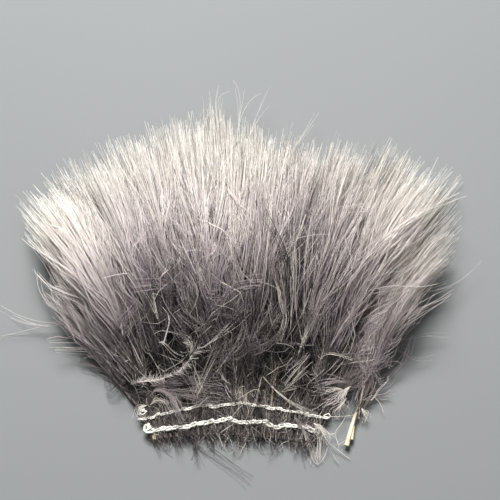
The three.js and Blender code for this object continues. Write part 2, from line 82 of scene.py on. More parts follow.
# Loose strands: plume, strands, how far they part, half thickness, tint, height in the plume, and points to
# the tip from the middle of the lower row.
LOOSE = (
    # at the left flank
    (0, 4, 5, 0.09, 0.75, 0.62, ((-53.5, 38.8, 7), (-62.5, 36.5, 5), (-71, 38.3, 3.5), (-78.5, 42.3, 2))),
    (0, 3, 4, 0.09, 0.6, 0.6, ((-53.5, 36.8, 7), (-62.5, 36.8, 4.5), (-71.5, 35, 2.6), (-80.8, 33.2, 1))),
    (0, 5, 6, 0.09, 0.7, 0.66, ((-56, 40.8, 7), (-62.5, 42.5, 6), (-67.5, 48.8, 5), (-70, 57, 4))),
    (1, 3, 2, 0.1, 0.8, 0.5, ((-50.5, 32.8, 8), (-57, 31.3, 6), (-61, 32, 4), (-65.5, 31.3, 3))),
    # at the right flank
    (29, 2, 2, 0.08, 0.7, 0.68, ((60.5, 45.8, 12), (69.5, 47, 10.5), (78.5, 51.3, 8), (86.6, 58.9, 6))),
    (28, 3, 3, 0.08, 0.6, 0.55, ((52.5, 30.8, 9), (59.5, 30.8, 7), (66.5, 32.8, 5), (73.5, 32.8, 4))),
    (28, 3, 6, 0.08, 0.55, 0.5, ((49.5, 26.8, 8), (56.5, 26.8, 6), (61.5, 24.3, 4), (66.5, 24.8, 3))),
    # round the loose plume
    (29, 2, 0.8, 0.12, 0.95, 0.5,
     ((44, 10.5, 3.6), (47, 10.3, 4), (49.5, 14, 4), (52, 16.5, 4), (52.6, 18.6, 4))),
    (29, 2, 2, 0.09, 0.9, 0.5, ((44.5, 17.8, 6), (48.5, 16.3, 4), (52, 17.5, 3))),
    (29, 2, 0.8, 0.1, 0.92, 0.45, ((47.8, 11.3, 4), (49.9, 8.8, 2.5), (51, 5.2, 1))),
    (29, 12, 6, 0.08, 0.7, 0.5, ((39.5, 15, 6), (35.4, 16, 7.5), (31.3, 15.5, 7.5), (28, 14, 7))),
    (29, 12, 6, 0.08, 0.92, 0.5, ((38.5, 12.6, 5.5), (35.3, 13, 7), (32, 12, 6.8), (28.6, 12.4, 6))),
    (29, 12, 5, 0.08, 0.8, 0.55, ((38.8, 12, 5), (36.3, 11, 6.5), (34, 9, 6), (31.3, 8.5, 5))),
    (29, 14, 4, 0.08, 0.96, 0.6, ((38.5, 10.7, 4.8), (36.3, 8.4, 5.6), (34.6, 6.8, 5), (35, 4.6, 4))),
    (29, 12, 5, 0.08, 0.95, 0.6, ((39.8, 14.5, 6), (38, 12.7, 7.5), (36.6, 9.4, 7), (37.7, 6.8, 5))),
    (29, 14, 3, 0.08, 0.96, 0.6, ((43.3, 7.6, 3), (44.2, 6, 3.6), (45.2, 5, 3.4), (44.4, 3.8, 2.6))),
    (29, 2, 0.5, 0.13, 0.95, 0.5,
     ((38, 4.6, 4), (36.5, 2, 3), (34.4, -0.9, 2.2), (35.2, -4, 1.4), (35.6, -6.4, 0.8))),
    (29, 2, 0.8, 0.1, 0.93, 0.5, ((34.6, -0.7, 2.2), (32.8, -1.2, 2.6), (31, -0.2, 3))),
    # below the left end of the rows, and over it
    (7, 3, 2, 0.1, 0.6, 0.3,
     ((-13.4, -1, 2.2), (-11.1, -5.7, 1.4), (-6, -9.7, 1.1), (0, -14.2, 0.8), (4.7, -18.7, 0.5))),
    (8, 3, 2, 0.1, 0.6, 0.3,
     ((-11.4, -1, 2.2), (-7.1, -5.4, 1.5), (-3.7, -8, 1.2), (1.7, -12.3, 0.8), (6.7, -16, 0.5))),
    (7, 14, 6, 0.06, 0.4, 0.2, ((-12.8, -3, 1.6), (-12.6, -7, 1.5), (-12.4, -10, 1.2))),
    (13, 2, 0.6, 0.08, 0.95, 0.62, ((0.7, 2.4, 3.6), (-2.5, 0.2, 3.2), (-5.8, -1.9, 2))),
    (9, 2, 0.8, 0.07, 0.85, 0.5, ((-6.5, 0.8, 3.4), (-9.5, -2, 2.6), (-12.6, -4.6, 1.5), (-14, -5, 1.2))),
    # over the tips
    (10, 3, 4, 0.08, 0.6, 0.95, ((-11.5, 103.8, 13), (-10.5, 115.8, 11), (-11, 122.8, 9))),
    (12, 3, 5, 0.08, 0.6, 0.95, ((-5.5, 105.8, 13), (-6, 117.8, 10), (-4.5, 124, 9))),
    (14, 4, 6, 0.08, 0.6, 0.95, ((1.5, 105.8, 13), (2, 117.8, 10), (2.1, 124.9, 9))),
    (16, 3, 6, 0.08, 0.6, 0.95, ((5.5, 103.8, 13), (9.5, 114.8, 10), (13.5, 121.8, 9))),
    (19, 3, 6, 0.08, 0.6, 0.95, ((20.5, 97.8, 13), (25.5, 107.8, 10), (29, 114.8, 9))),
    # round the right end of the rows
    (24, 12, 3, 0.09, 0.92, 0.5, ((22.5, 2.5, 3.8), (24, -1, 3), (25.5, -5, 2), (27.8, -10, 0.8))),
    (25, 12, 3, 0.09, 0.95, 0.6, ((24.5, 2, 4), (27, 0, 3.6), (28.8, -2.5, 2.6), (28.2, -9.6, 0.8))),
    (25, 34, 4, 0.09, 0.96, 0.66, ((27, 2, 4.6), (28.6, 0.6, 5), (30, -1, 4.6), (30.4, -3.4, 3.4))),
    (25, 2, 0.3, 0.1, 0.93, 0.5,
     ((23.3, 0, 3), (25.8, -7, 1.6), (28, -11.2, 0.8), (30.5, -9, 1.4), (31.9, -5.4, 2))),
    (26, 20, 6, 0.07, 0.7, 0.42, ((20.5, 4.5, 3.8), (22.5, 2, 4.4), (25, 0.5, 4.2), (28, -0.5, 3.4))),
    (26, 2, 0.8, 0.11, 0.94, 0.5, ((29.5, -0.5, 3.6), (33, -4.5, 2.2), (36, -6.8, 1.4), (39.3, -9.1, 0.8))),
    (27, 2, 1.5, 0.09, 0.92, 0.5, ((30, -2.5, 3.2), (33, -7.5, 1.8), (35.2, -11, 0.8))),
    # over the stitches
    (16, 1, 0.1, 0.1, 0.95, 0.6,
     ((11, 2.4, 3.4), (10.4, -1.5, 3), (11.6, -4, 2.6), (12.8, -2.2, 3), (12, 1, 3.4))),
    (18, 1, 0.1, 0.1, 0.95, 0.6,
     ((14.6, 1.8, 3.4), (14.4, -3.4, 2.6), (15.4, -6.6, 1.8), (16.6, -5.6, 2), (16, -3.6, 2.4))),
    (14, 2, 0.6, 0.08, 0.9, 0.5, ((5.6, 3, 3.4), (6.6, -1, 2.8), (7.8, -5, 1.8))),
    (20, 2, 0.8, 0.09, 0.92, 0.5, ((17, 2, 3.4), (18.6, -2, 2.8), (19, -6, 1.6))),
    (12, 2, 1.0, 0.08, 0.9, 0.5, ((-1, 3.4, 3.4), (1, 6, 4.4), (3.4, 8.4, 4.6))),
    (15, 2, 1.0, 0.08, 0.9, 0.5, ((4, 3, 3.4), (5.4, 6, 4.4), (4.6, 9.4, 4.8))),
    (19, 2, 1.0, 0.08, 0.9, 0.5, ((18, 1.6, 3.4), (17, 4.6, 4.2), (19.4, 8, 4.8))),
    (23, 2, 1.5, 0.08, 0.5, 0.3, ((21, 1, 3), (22.5, -4, 1.8), (24.1, -12, 0.6))),
    # curled down at the left end
    (3, 26, 4, 0.07, 0.7, 0.44,
     ((-28, 11.2, 5.5), (-26, 13, 6.5), (-23, 12.4, 7), (-20, 10, 6.5), (-18.5, 6.5, 5.5))),
    (4, 18, 4, 0.07, 0.7, 0.44, ((-23, 12.6, 7), (-20.4, 10.4, 6.5), (-18.7, 7, 5.5), (-16.5, 2.7, 3.6))),
    (2, 16, 7, 0.07, 0.62, 0.42, ((-28, 14.3, 7), (-20.5, 15.6, 8.5), (-12.8, 16.2, 9), (-5, 16.5, 9))),
    (5, 18, 7, 0.07, 0.6, 0.42, ((-24.6, 12.7, 6.5), (-18, 11.3, 6.5), (-11, 10, 6), (-5.8, 9.2, 5))),
    (6, 16, 7, 0.07, 0.62, 0.42, ((-22, 13.2, 7), (-14.5, 12.8, 7.2), (-8.4, 13.4, 7.5), (-3, 12.2, 7))),
    (2, 16, 5, 0.07, 0.9, 0.5, ((-28, 8.3, 4.5), (-25.3, 10, 5.2), (-22.6, 9.2, 5.2), (-21.2, 6.6, 4.6))),
    (0, 22, 5, 0.06, 0.92, 0.6, ((-29, 8.5, 3.4), (-31, 7.8, 4), (-32, 6, 3.8), (-30.5, 4.5, 3.4))),
    # over the down and the dark middle
    (15, 20, 5, 0.06, 0.92, 0.6, ((-14.5, 24, 12), (-13.8, 26, 13.5), (-15, 28, 14.5), (-17, 29, 14))),
    (11, 7, 3, 0.09, 0.9, 0.5, ((-11, 25.5, 13), (-5, 29, 16), (0.5, 33.5, 18), (6.4, 38, 20.5))),
    (14, 6, 3, 0.08, 0.9, 0.45, ((-5.8, 18.5, 9), (-2, 23, 12), (2, 28, 15), (4.3, 33, 17.5))),
    (23, 18, 5, 0.09, 0.9, 0.5, ((21.8, 24, 12), (24, 29, 15), (27, 36, 18), (29.5, 42, 21))),
    (4, 3, 1, 0.16, 0.95, 0.62,
     ((-23.5, 37.8, 21), (-21.5, 35.3, 20.5), (-21.2, 32.3, 18.5), (-23.3, 26.8, 14))),
    (4, 3, 1.5, 0.09, 0.95, 0.55,
     ((-27.5, 29.8, 14), (-24.5, 31, 15.5), (-21.5, 30.8, 15.5), (-17.5, 29.8, 14.5))),
    (5, 3, 1.5, 0.09, 0.95, 0.55,
     ((-25.5, 27.8, 13), (-23.5, 27.4, 14), (-20.5, 24.6, 12.5), (-17, 22.8, 11.5))),
    (18, 3, 1.2, 0.07, 0.95, 0.6, ((9.7, 17.5, 9), (8.7, 13.8, 6.5), (7.4, 9, 4.9), (5.6, 5.5, 4.2))),
    (19, 8, 2.4, 0.06, 0.9, 0.58,
     ((9.9, 17.5, 9), (13.5, 13.8, 7), (19.2, 9.2, 5.6), (25.5, 6, 4.9), (28.5, 5, 4.4))),
    (18, 3, 0.8, 0.1, 0.97, 0.62, ((13, 38, 20), (9.7, 33.4, 16.5), (6.4, 28.3, 13.5))),
    (20, 9, 2.5, 0.12, 0.97, 0.66,
     ((14.5, 44.8, 24), (16.1, 38.4, 21), (17.5, 34.8, 18), (15.5, 27.8, 13.5))),
    (24, 5, 2, 0.1, 0.9, 0.5, ((28.5, 20.8, 9.5), (30.5, 23.8, 12), (34, 24.3, 12.5), (40, 22.8, 10.5))),
    # fanning over the right of the middle
    (18, 7, 6, 0.1, 0.8, 0.56,
     ((16.8, 33, 19), (17.2, 39.5, 23), (16, 47, 26), (14.4, 57, 28), (12.5, 68, 28))),
    (19, 7, 6, 0.1, 0.8, 0.56,
     ((19.2, 31, 17), (19.6, 39.5, 23), (19.3, 48, 26), (18.8, 58, 28), (17, 69, 28))),
    (20, 7, 6, 0.1, 0.8, 0.56,
     ((21.5, 33, 19), (21, 40.5, 24), (21.5, 49, 27), (21.4, 59, 28), (22, 69, 28))),
    (20, 7, 7, 0.1, 0.8, 0.56,
     ((23.2, 32, 18), (23.9, 40, 23), (24, 48.5, 27), (25, 59, 28), (26.7, 71.5, 28))),
    (21, 8, 8, 0.1, 0.8, 0.56,
     ((24.6, 30.5, 17), (26.6, 39.5, 23), (28.3, 48, 27), (31.4, 57, 28), (34, 68, 28))),
    (22, 8, 8, 0.1, 0.8, 0.56,
     ((26, 29.3, 16), (28.4, 38, 22), (32.2, 46, 26), (35.8, 54.5, 28), (40.5, 65.5, 28))),
    (24, 9, 9, 0.1, 0.8, 0.56,
     ((26.6, 26, 15), (29, 33.5, 19), (34.6, 42, 24), (40, 50.5, 26), (47, 61, 27))),
    (25, 9, 9, 0.1, 0.8, 0.58,
     ((30, 39.5, 22), (35, 44.5, 25), (40, 51.5, 27), (46.8, 58, 27), (53.7, 64, 27))),
    (26, 9, 9, 0.1, 0.8, 0.58,
     ((32.6, 26, 15), (36.8, 33, 19), (43.4, 39.5, 22), (50.4, 47.5, 24), (57.7, 55, 24))),
    # bright ends over the left of the middle
    (6, 10, 5, 0.1, 0.97, 0.7, ((-20.2, 58, 28), (-17.8, 54.5, 28), (-16.4, 51, 27.5))),
    (8, 10, 6, 0.1, 0.97, 0.7, ((-12.5, 61.5, 28.5), (-9.1, 57.5, 28.5), (-10.4, 53, 28))),
    (9, 10, 5, 0.1, 0.97, 0.7, ((-6.7, 58.8, 28.5), (-5.4, 54.5, 28), (-8.4, 51, 27.5))),
    (5, 6, 4, 0.1, 0.95, 0.66, ((-24.4, 46, 26), (-21.7, 49.3, 27), (-19.8, 52.5, 27.5))),
    (8, 10, 5, 0.1, 0.92, 0.66, ((-11.7, 51.3, 27.5), (-10.7, 47, 26.5), (-10, 44, 25.5))),
    (12, 12, 7, 0.11, 0.9, 0.72, ((0, 52.5, 28), (-1, 59.5, 28.5), (-1.7, 66.5, 29))),
    (13, 12, 7, 0.11, 0.9, 0.72, ((2, 52.5, 28), (2.3, 59.5, 28.5), (2.3, 67.5, 29))),
    (4, 6, 4, 0.1, 0.84, 0.62, ((-24.8, 33.5, 21), (-26.4, 39.5, 23), (-27.7, 44, 25))),
    # pale left edge
    (1, 14, 5, 0.1, 0.73, 0.64,
     ((-50.4, 29.9, 11), (-54.5, 38.2, 14), (-58.1, 46.4, 15), (-62.1, 55.4, 14), (-67, 64.9, 12))),
    (1, 14, 5, 0.1, 0.72, 0.64,
     ((-47.6, 32.1, 13), (-52, 40.4, 16), (-56, 48.6, 17), (-59.9, 57.6, 16), (-64.8, 67.1, 14))),
    (0, 10, 4, 0.08, 0.7, 0.6,
     ((-52.6, 27.7, 9), (-56.8, 35.6, 11), (-60, 42.4, 12), (-61.8, 47.7, 11), (-61.5, 52.4, 10))),
)
# Patches that lie lower, with painted shade, or higher, with painted light: their middle from the middle of
# the lower row, their reach along and across the string, and how much.
PATCHES = (
    (27, 55, 13, 11, -0.9),
    (22, 43, 8, 10, -1.5),
    (4, 35, 7, 7, -0.6),
    (-21, 37, 6, 8, -0.9),
    (-30, 20, 14, 9, -2.4),
    (30, 26, 5, 8, -0.8),
    (20, 22, 6, 6, -0.6),
    (-52, 45, 11, 16, 2.4),
    (-3, 52, 7, 12, 0.9),
    (55, 44, 9, 12, 0.5),
    (43, 20, 8, 10, 2.8),
    (-48, 72, 14, 12, -0.2),
    (60, 75, 12, 16, 2.2),
)
# A broken barb with its own short barbs, lying across the others near the left end.
CROSS_SHAFT = (
    (-34.5, 15.3, 6),
    (-31, 15.8, 7),
    (-26.5, 16, 8),
    (-21.5, 17.4, 9),
    (-17.5, 19.5, 10),
    (-12, 25.8, 13.5),
)


def length_value(name, description, millimetres):
    default = millimetres * MM
    return bpy.props.FloatProperty(name=name, description=description, default=default, unit="LENGTH")


def share_value(name, description, default):
    return bpy.props.FloatProperty(name=name, description=description, default=default, subtype="FACTOR")


def count_value(name, description, default):
    return bpy.props.IntProperty(name=name, description=description, default=default, min=1)


def angle_value(name, description, degrees):
    default = math.radians(degrees)
    return bpy.props.FloatProperty(name=name, description=description, default=default, subtype="ANGLE")


def colour_value(name, description, red, green, blue):
    """A colour given as 0 to 255 screen values."""
    linear = [((v / 255 + 0.055) / 1.055) ** 2.4 if v > 10 else v / 255 / 12.92 for v in (red, green, blue)]
    return bpy.props.FloatVectorProperty(
        name=name, description=description, default=linear, size=3, subtype="COLOR", min=0, max=1
    )


class StringSettings(bpy.types.PropertyGroup):
    """Where the string lies and how its plumes fan out."""

    sewn: count_value("Sewn plumes", "Plumes caught by both rows of stitches", 29)
    middle_x: length_value("Middle X", "Middle of the lower row", -2.93)
    middle_y: length_value("Middle Y", "Ends of the lower row", -53.05)
    half: length_value("Half length", "Middle of the string to its end quills", 28)
    bow: length_value("Bow", "Rise of the row's middle towards the tips", 2.5)
    droop: length_value("Droop", "How much lower the right end lies than the middle", 0.8)
    row_step: length_value("Row step", "Lower row to upper row", 5.8)
    quill_height: length_value("Quill height", "Quills over the table where they are sewn", 2)
    quill_radius: length_value("Quill radius", "Thickness of a sewn quill, halved", 0.58)
    butt: length_value("Butt", "Quill left below the lower row", 4)
    stray_x: length_value("Loose plume", "Place of the plume past the right end", 39.5)
    stray_lean: angle_value("Loose plume's lean", "From the direction of the tips", 23)
    stray_length: length_value("Loose plume's length", "Row to tip", 54)
    stray_radius: length_value("Loose quill radius", "Thickness of the loose plume's quill, halved", 1.0)
    stray_butt: length_value("Loose butt", "Bare quill of the loose plume below the row", 4.5)
    lean_at_row: share_value("Lean at the row", "A plume starts steeper than its mean lean", 0.7)
    base_height: length_value("Height at the row", "Of the whole bunch", 3.6)
    top_height: length_value("Height of the bunch", "At its thickest", 30)


class BarbSettings(bpy.types.PropertyGroup):
    """How the plumes are clothed."""

    seed: count_value("Seed", "Fixed start of every random choice", 11)
    upper: count_value("Upper barbs", "Long straight barbs of a full plume", 440)
    middle: count_value("Middle barbs", "Waving barbs of a full plume", 150)
    flowing: count_value("Flowing barbs", "Long pale barbs over the middle of a full plume", 52)
    flank: count_value("Flank barbs", "Fine barbs on a plume at the end of the string", 240)
    down: count_value("Down", "Curling down of a full plume", 215)
    crossing: count_value("Crossing barbs", "Pale barbs that lie across the others, of a full plume", 20)
    fuzz: count_value("Fuzz", "Short down round the sewn quill", 110)
    hanging: count_value("Hanging fuzz", "Fibres that hang below the stitches", 40)
    upper_radius: length_value("Upper barb radius", "At the root", 0.14)
    middle_radius: length_value("Middle barb radius", "At the root", 0.15)
    flowing_radius: length_value("Flowing barb radius", "At the root", 0.18)
    down_radius: length_value("Down radius", "At the root", 0.12)
    half_width: length_value("Half width", "How far barbs spread from the shaft", 10)


class StitchSettings(bpy.types.PropertyGroup):
    """The cotton chain stitch."""

    length: length_value("Link length", "A link overlaps the next one", 3.2)
    width: length_value("Link width", "Across the row", 1.7)
    radius: length_value("Thread radius", "Thickness of the cotton, halved", 0.32)
    cotton: colour_value("Cotton", "Colour of the thread", 246, 243, 233)


class DyeSettings(bpy.types.PropertyGroup):
    """Colours of a plume from butt to tip; towards the tips they grow lighter partly as painted light from
    above.
    """

    root: colour_value("Root", "Down at the quill", 62, 57, 58)
    low: colour_value("Low", "Down above the stitches", 94, 87, 89)
    middle: colour_value("Middle", "Waving barbs", 162, 150, 154)
    # The high and tip colours are lighter partly as painted light from above.
    high: colour_value("High", "Upper barbs", 220, 210, 208)
    tip: colour_value("Tip", "Ends of the barbs", 238, 233, 225)
    undyed: colour_value("Undyed", "Barbs that took no dye", 240, 235, 222)
    quill: colour_value("Quill", "Horn of the shaft", 242, 232, 198)
    amber: colour_value("Amber", "The darker quills", 134, 106, 72)


class StageSettings(bpy.types.PropertyGroup):
    """Camera, light and floor."""

    elevation: angle_value("Elevation", "Of the camera over the table", 70)
    distance: length_value("Distance", "Camera to the bunch", 480)
    frame_width: length_value("Frame width", "Seen across the picture", 175)
    aim_x: length_value("Aim X", "Point in the picture's middle", 2.77)
    aim_y: length_value("Aim Y", "Point in the picture's middle", 10.35)
    aim_z: length_value("Aim Z", "Point in the picture's middle", 6)
    floor: colour_value("Floor", "Pale table", 126, 128, 128)


def smooth(low, high, value):
    share = np.clip((value - low) / (high - low), 0, 1)
    return share * share * (3 - 2 * share)


class Plume:
    """Centre line of one plume and the layer of the bunch that it lies in. Lengths in millimetres."""

    def __init__(self, index, string):
        self.index = index
        self.name = f"plume_{index + 1:02d}"
        self.string = string
        self.stray = index == string.sewn
        if self.stray:
            place = 1
            self.layer = LAYERS - 1
            self.lean = string.stray_lean
            self.pale = 0.2
            self.length = string.stray_length / MM
            self.start = np.array((string.stray_x, -string.droop)) / MM
            self.radius = string.stray_radius / MM
            self.butt = string.stray_butt / MM
        else:
            place = 2 * index / (string.sewn - 1) - 1
            stops, leans, lengths, pales = zip(*FAN)
            self.layer = index % LAYERS
            self.lean = math.radians(np.interp(place, stops, leans))
            self.length = np.interp(place, stops, lengths) * LAYER_REACH[self.layer]
            self.pale = np.interp(place, stops, pales)
            rise = string.bow * (1 - place * place) - string.droop * place
            self.start = np.array((string.half * place, rise)) / MM
            self.radius = string.quill_radius / MM
            self.butt = string.butt / MM
        self.mingled = 0.17 + 0.2 * place**2  # how far barbs rise and sink into the layers next to theirs
        self.bare = self.stray or index in BARE_QUILLS
        self.at_end = index in (0, 1, string.sewn - 1)
        self.near_end = not 2 < index < string.sewn - 2  # the loose plume too
        self.share = (self.layer + 0.5) / LAYERS
        self.origin = np.array((string.middle_x, string.middle_y, 0)) / MM
        self.dyed_length = max(self.length, 100)  # short plumes are dyed like the foot of a long one

    def centre(self, run):
        """Points and headings of the centre line at distances from the lower row."""
        first = self.lean * self.string.lean_at_row
        bend = 2 * self.lean * (1 - self.string.lean_at_row) / self.length
        ahead = np.maximum(run, 0)
        heading = first + bend * ahead
        chord = ahead * np.sinc(bend * ahead / 2 / np.pi)
        mean = first + bend * ahead / 2
        below = np.minimum(run, 0)
        x = self.start[0] + chord * np.sin(mean) + below * math.sin(first)
        y = self.start[1] + chord * np.cos(mean) + below * math.cos(first)
        return x, y, heading

    def place(self, run, side, share):
        """Points in the part's frame: along a plume, sideways of it, and a share of the bunch's height up."""
        x, y, heading = self.centre(run)
        x = x + side * np.cos(heading)
        y = y - side * np.sin(heading)
        lofted = smooth(7, 20, run)  # from the rows up into the bunch
        row = self.string.quill_height / MM + (share - self.share) * SEWN_HEIGHT
        z = (1 - lofted) * row + lofted * loft(self.string, x, y) * share
        return self.origin + np.stack((x, y, z), axis=-1)


def loft(string, x, y):
    """Height of the whole bunch over a point of the table, from the middle of the lower row."""
    base = string.base_height / MM
    top = string.top_height / MM
    rise = smooth(8, 58, y)
    fall = 1 - 0.55 * smooth(62, 118, y)
    flanks = 1 - 0.4 * (x / 78) ** 2
    return base + (top - base) * rise * fall * flanks


def rein_in(string, points, thick):
    """Keeps strands over the table and presses those that stand out of the bunch back towards it."""
    x = points[..., 0] - string.middle_x / MM
    y = points[..., 1] - string.middle_y / MM
    top = 0.94 * loft(string, x, y) + 2.2
    z = points[..., 2]
    z = np.where(z > top, top + 0.15 * (z - top), z)
    return np.dstack((points[..., 0], points[..., 1], np.maximum(z, thick + TABLE_GAP)))


class Paths:
    """Strand paths of one piece, swept into closed tapering tubes by a node tree."""

    KEYS = ("half_thick", "tone", "height", "horn", "slit")

    def __init__(self, string):
        self.string = string
        self.points = []
        self.values = {key: [] for key in self.KEYS}
        self.edges = []
        self.total = 0

    def add(self, points, half_thick, tone, height, horn=0.0, slit=0.0):
        """Adds strands: points is strands by steps by 3, the rest spreads to strands by steps."""
        strands, steps = points.shape[:2]
        self.points.append(rein_in(self.string, points, half_thick).reshape(-1, 3))
        for key, value in zip(self.KEYS, (half_thick, tone, height, horn, slit)):
            self.values[key].append(np.broadcast_to(value, (strands, steps)).reshape(-1))
        index = self.total + np.arange(strands * steps).reshape(strands, steps)
        self.edges.append(np.stack((index[:, :-1], index[:, 1:]), axis=-1).reshape(-1, 2))
        self.total += strands * steps

    def mesh(self, name):
        made = bpy.data.meshes.new(name)
        made.vertices.add(self.total)
        made.vertices.foreach_set("co", (np.concatenate(self.points) * MM).ravel())
        edges = np.concatenate(self.edges)
        made.edges.add(len(edges))
        made.edges.foreach_set("vertices", edges.ravel())
        for key, value in self.values.items():
            scale = MM if key in ("half_thick", "slit") else 1
            held = made.attributes.new(key, "FLOAT", "POINT")
            held.data.foreach_set("value", np.concatenate(value) * scale)
        return made


class Value:
    """A node's output that takes part in sums, and adds the Math nodes for them."""

    def __init__(self, nodes, socket):
        self.nodes = nodes
        self.socket = socket

    def _math(self, operation, first, second=0):
        return self.nodes.add("ShaderNodeMath", {"operation": operation}, {0: first, 1: second})

    def __add__(self, other):
        return self._math("ADD", self, other)

    def __sub__(self, other):
        return self._math("SUBTRACT", self, other)

    def __rsub__(self, other):
        return self._math("SUBTRACT", other, self)

    def __mul__(self, other):
        return self._math("MULTIPLY", self, other)

    def __gt__(self, other):
        return self._math("GREATER_THAN", self, other)

    def __pow__(self, other):
        return self._math("POWER", self, other)

    def at_least(self, other):
        return self._math("MAXIMUM", self, other)

    def sine(self):
        return self._math("SINE", self)

    def cosine(self):
        return self._math("COSINE", self)

    __radd__ = __add__
    __rmul__ = __mul__


class Nodes:
    """A tree of nodes under construction."""

    def __init__(self, tree):
        self.tree = tree

    def node(self, kind, settings=None, values=None):
        """Adds a node: its settings and ramp stops first, then values or links of its sockets."""
        made = self.tree.nodes.new(kind)
        for key, setting in (settings or {}).items():
            if key == "stops":
                self._stops(made.color_ramp, setting)
            else:
                setattr(made, key, setting)
        by_identifier = {socket.identifier: socket for socket in made.inputs}
        for key, given in (values or {}).items():
            socket = made.inputs[key] if isinstance(key, int) else by_identifier.get(key) or made.inputs[key]
            if isinstance(given, Value):
                given = given.socket
            if isinstance(given, bpy.types.NodeSocket):
                self.tree.links.new(given, socket)
            else:
                socket.default_value = given
        return made

    def add(self, kind, settings=None, values=None, output=0):
        """Adds a node and returns one of its outputs."""
        return Value(self, self.node(kind, settings, values).outputs[output])

    @staticmethod
    def _stops(ramp, stops):
        while len(ramp.elements) < len(stops):
            ramp.elements.new(1)
        for element, (position, colour) in zip(ramp.elements, stops):
            element.position = position
            element.color = (*colour, 1)


class GrowthTree(Nodes):
    """A geometry node tree with named inputs."""

    def __init__(self, name):
        super().__init__(bpy.data.node_groups.new(name, "GeometryNodeTree"))
        self.inlets = {}
        for way in ("INPUT", "OUTPUT"):
            self.tree.interface.new_socket("Geometry", in_out=way, socket_type="NodeSocketGeometry")

    def inlet(self, name, kind, default=None):
        socket = self.tree.interface.new_socket(name, in_out="INPUT", socket_type=kind)
        if default is not None:
            socket.default_value = default
        self.inlets[name] = socket.identifier

    def begin(self):
        self.source = self.tree.nodes.new("NodeGroupInput")
        return self.given("Geometry")

    def given(self, name):
        return Value(self, self.source.outputs[name])

    def attribute(self, name):
        return self.add("GeometryNodeInputNamedAttribute", {"data_type": "FLOAT"}, {"Name": name})

    def along(self, measure):
        """How far along its line a point is, as a Factor or a Length."""
        return self.add("GeometryNodeSplineParameter", output=measure)

    def store(self, geometry, name, value, kind="FLOAT", domain="POINT"):
        settings = {"data_type": kind, "domain": domain}
        values = {"Geometry": geometry, "Name": name, "Value": value}
        return self.add("GeometryNodeStoreNamedAttribute", settings, values)

    def join(self, *parts):
        joined = self.node("GeometryNodeJoinGeometry")
        for part in parts:
            self.tree.links.new(part.socket, joined.inputs[0])
        return Value(self, joined.outputs[0])

    def circle(self, points):
        return self.add("GeometryNodeCurvePrimitiveCircle", values={"Resolution": points, "Radius": 1.0})

    def sweep(self, curve, sides, radius):
        """A closed, smoothly shaded tube along a curve, which knows how far round it each point is."""
        ring = self.store(self.circle(sides), "round", self.along("Factor"))
        values = {"Curve": curve, "Profile Curve": ring, "Scale": radius, "Fill Caps": True}
        tube = self.add("GeometryNodeCurveToMesh", values=values)
        return self.add("GeometryNodeSetShadeSmooth", values={"Geometry": tube})

    def curve(self, mesh):
        return self.add("GeometryNodeMeshToCurve", values={"Mesh": mesh})

    def vector(self, **axes):
        return self.add("ShaderNodeCombineXYZ", values={name.upper(): value for name, value in axes.items()})

    def move(self, geometry, **way):
        """Moves points by an offset, or to a position."""
        values = {name.capitalize(): value for name, value in way.items()}
        return self.add("GeometryNodeSetPosition", values={"Geometry": geometry, **values})

    def dress(self, geometry, material):
        return self.add("GeometryNodeSetMaterial", values={"Geometry": geometry, "Material": material})

    def part(self, geometry, key):
        """Splits off the paths on which a value is set, and the rest."""
        values = {"Geometry": geometry, "Selection": self.attribute(key) > 0.05}
        return self.node("GeometryNodeSeparateGeometry", {"domain": "POINT"}, values).outputs[:2]

    def scatter(self, low, high):
        """A random vector for each point."""
        values = {0: low, 1: high, "Seed": self.given("Seed")}
        return self.add("FunctionNodeRandomValue", {"data_type": "FLOAT_VECTOR"}, values)

    def realize(self, geometry):
        return self.add("GeometryNodeRealizeInstances", values={"Geometry": geometry})

    def end(self, geometry):
        self.node("NodeGroupOutput", values={"Geometry": geometry})


def feather_tree():
    """Sweeps the paths of a feather: barbs with few sides, the shaft rounder, both with the bake map."""
    tree = GrowthTree("marabou_feather")
    tree.inlet("Barb sides", "NodeSocketInt", 3)
    tree.inlet("Shaft sides", "NodeSocketInt", 10)
    tree.inlet("Down", "NodeSocketMaterial")
    tree.inlet("Horn", "NodeSocketMaterial")
    shafts, barbs = tree.part(tree.begin(), "horn")
    radius = tree.attribute("half_thick")
    shaft = tree.sweep(tree.curve(shafts), tree.given("Shaft sides"), radius)
    facing = (tree.attribute("round") * (2 * math.pi)).cosine()
    depth = facing.at_least(0.0) ** 6.0 * tree.attribute("slit") * -1.0
    normal = tree.add("GeometryNodeInputNormal")
    inward = tree.add("ShaderNodeVectorMath", {"operation": "SCALE"}, {0: normal, "Scale": depth})
    slit = tree.move(shaft, offset=inward)
    barb = tree.sweep(tree.curve(barbs), tree.given("Barb sides"), radius)
    whole = tree.join(tree.dress(slit, tree.given("Horn")), tree.dress(barb, tree.given("Down")))
    tint = tree.attribute("round") * 0.01 + tree.attribute("tone")
    place = tree.vector(x=tint, y=tree.attribute("height"))
    mapped = tree.store(whole, BAKE_MAP, place, "FLOAT2", "CORNER")
    for spare in (*Paths.KEYS, "round"):
        mapped = tree.add("GeometryNodeRemoveAttribute", values={"Geometry": mapped, "Name": spare})
    tree.end(tree.realize(mapped))
    return tree


def link_loop(tree):
    """One link of the chain: a loop of thread along X, narrow at its start, rising through the last one."""
    turn = tree.along("Factor") * (2 * math.pi)
    ahead = turn.cosine() * -0.5
    openness = ahead * 0.7 + 0.6
    half = tree.given("Link width") * 0.38
    arch = ((ahead + 0.5) * math.pi).cosine()
    bent = tree.vector(
        x=ahead * tree.given("Link length"),
        y=turn.sine() * half * openness,
        z=arch * (tree.given("Thread radius") * -1.0),
    )
    loop = tree.move(tree.circle(18), position=bent)
    return tree.store(loop, "length", tree.along("Length"))


